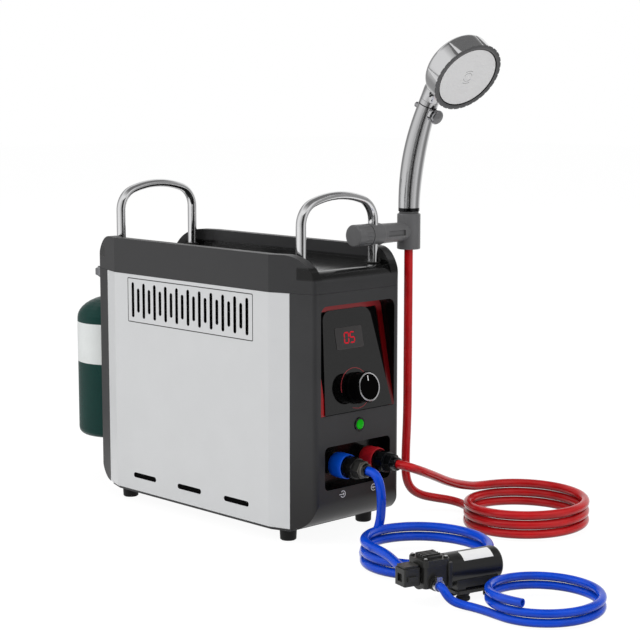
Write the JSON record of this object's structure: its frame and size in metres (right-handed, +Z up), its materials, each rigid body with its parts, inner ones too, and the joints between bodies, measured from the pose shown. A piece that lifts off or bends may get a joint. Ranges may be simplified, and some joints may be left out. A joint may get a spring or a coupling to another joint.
{
  "type": "portable propane water heater",
  "caption": "Upright portable gas water heater with carry handles, inclined control panel, screw-on gas cylinder, hand shower in a clip-on holder, hoses and a small pump.",
  "frame": {"origin": "on the ground, at the centre of the four feet", "axes": "+Z up, +X out of the end with the controls and water connections, -Y out of the vented side; the gas cylinder hangs behind the -X end"},
  "size_m": [0.8444, 0.3947, 0.5421],
  "materials": {
    "casing_silver": "satin silver paint with a fine grain",
    "casing_dark": "fine textured dark grey moulding",
    "cover_dark": "fine textured dark grey moulding",
    "sheet_dark": "dark satin paint",
    "handle_steel": "polished steel",
    "trim_red": "glossy red moulding",
    "fascia": "glossy dark plate",
    "window": "smoked glossy window",
    "knob_black": "black moulding with a bright front ring",
    "button_green": "translucent lit green",
    "bright_metal": "polished",
    "brass": "turned brass",
    "collar_blue": "glossy blue moulding",
    "collar_red": "glossy red moulding",
    "nut_black": "black moulding",
    "copper": "bare copper",
    "galvanised": "galvanised sheet",
    "ceramic": "glazed ceramic",
    "board_green": "coated circuit board",
    "zinc": "die-cast zinc",
    "cylinder_green": "dark green gloss paint with a blank band",
    "holder_grey": "dark grey moulding",
    "chrome": "polished chrome",
    "spray_grey": "light grey moulding",
    "rim_grey": "dark grey moulding",
    "pump_black": "black moulding",
    "pump_steel": "dark satin can with a blank label",
    "rubber": "black rubber",
    "clip_steel": "spring steel",
    "hose_red": "glossy red hose",
    "hose_blue": "glossy blue hose"
  },
  "bodies": {
    "heater": {"base_pan": "sheet_dark", "feet": "rubber", "front_housing": "casing_dark", "rear_housing": "casing_dark", "top_cover": "cover_dark", "side_panel_vented": "casing_silver", "side_panel_plain": "casing_silver", "vent_grille": "sheet_dark", "handle_front": "handle_steel", "handle_rear": "handle_steel", "control_trim": "trim_red", "control_fascia": "fascia", "display_window": "window", "power_bezel": "bright_metal", "inlet_fitting": "brass", "outlet_fitting": "brass", "inlet_hose_nut": "nut_black", "outlet_hose_nut": "nut_black", "combustion_chamber": "copper", "heat_exchanger": "copper", "exhaust_hood": "galvanised", "burner": "galvanised", "igniter": "ceramic", "gas_valve": "zinc", "gas_pipe": "galvanised", "cold_pipe": "copper", "hot_pipe": "copper", "flow_sensor": "holder_grey", "control_board": "board_green", "battery_box": "pump_black", "regulator": "zinc", "clamp_sleeve": "holder_grey", "shower_cradle": "holder_grey", "hose_cone": "rim_grey", "pump_motor": "pump_steel", "pump_head": "pump_black", "pump_switch": "pump_black", "pump_base": "pump_black", "pump_feet": "rubber", "hose_clamps": "clip_steel", "red_hose_out": "hose_red", "red_coil": "hose_red", "red_hose_riser": "hose_red", "feed_hose_in": "hose_blue", "feed_coil": "hose_blue", "feed_hose_to_pump": "hose_blue", "suction_hose": "hose_blue", "suction_coil": "hose_blue"},
    "temperature_knob": {"temperature_knob": "knob_black"},
    "power_button": {"power_button": "button_green"},
    "inlet_collar": {"inlet_collar": "collar_blue"},
    "outlet_collar": {"outlet_collar": "collar_red"},
    "clamp_knob": {"clamp_knob": "holder_grey"},
    "handset": {"shower_handle": "chrome", "shower_head": "chrome", "shower_rim": "rim_grey", "spray_face": "spray_grey"},
    "stop_button": {"stop_button": "chrome"},
    "gas_cylinder": {"gas_cylinder": "cylinder_green", "cylinder_valve": "brass"}
  },
  "joints": [
    {"name": "temperature_knob_turn", "type": "hinge", "parent": "heater", "child": "temperature_knob", "pos_m": [0.18284, -0.001, 0.16654], "axis": [0.9816, 0, 0.1908], "range_deg": [-135, 135]},
    {"name": "power_button_press", "type": "slide", "parent": "heater", "child": "power_button", "axis": [-1, 0, 0], "range_m": [0, 0.0015], "stiffness_N_per_m": 600},
    {"name": "inlet_collar_release", "type": "slide", "parent": "heater", "child": "inlet_collar", "axis": [-1, 0, 0], "range_m": [0, 0.0025], "stiffness_N_per_m": 800},
    {"name": "outlet_collar_release", "type": "slide", "parent": "heater", "child": "outlet_collar", "axis": [-1, 0, 0], "range_m": [0, 0.0025], "stiffness_N_per_m": 800},
    {"name": "clamp_knob_turn", "type": "hinge", "parent": "heater", "child": "clamp_knob", "pos_m": [0.1565, 0.04, 0.329], "axis": [0, 1, 0], "range_deg": [0, 360]},
    {"name": "handset_swivel", "type": "hinge", "parent": "heater", "child": "handset", "pos_m": [0.1565, 0.113, 0.35], "axis": [0, 0, 1], "continuous": true},
    {"name": "stop_button_press", "type": "slide", "parent": "handset", "child": "stop_button", "axis": [-0.9082, 0, 0.4185], "range_m": [0, 0.003], "stiffness_N_per_m": 500},
    {"name": "gas_cylinder_turn", "type": "hinge", "parent": "heater", "child": "gas_cylinder", "pos_m": [-0.23865, 0, 0.15], "axis": [0, 0, 1], "range_deg": [0, 360]}
  ]
}
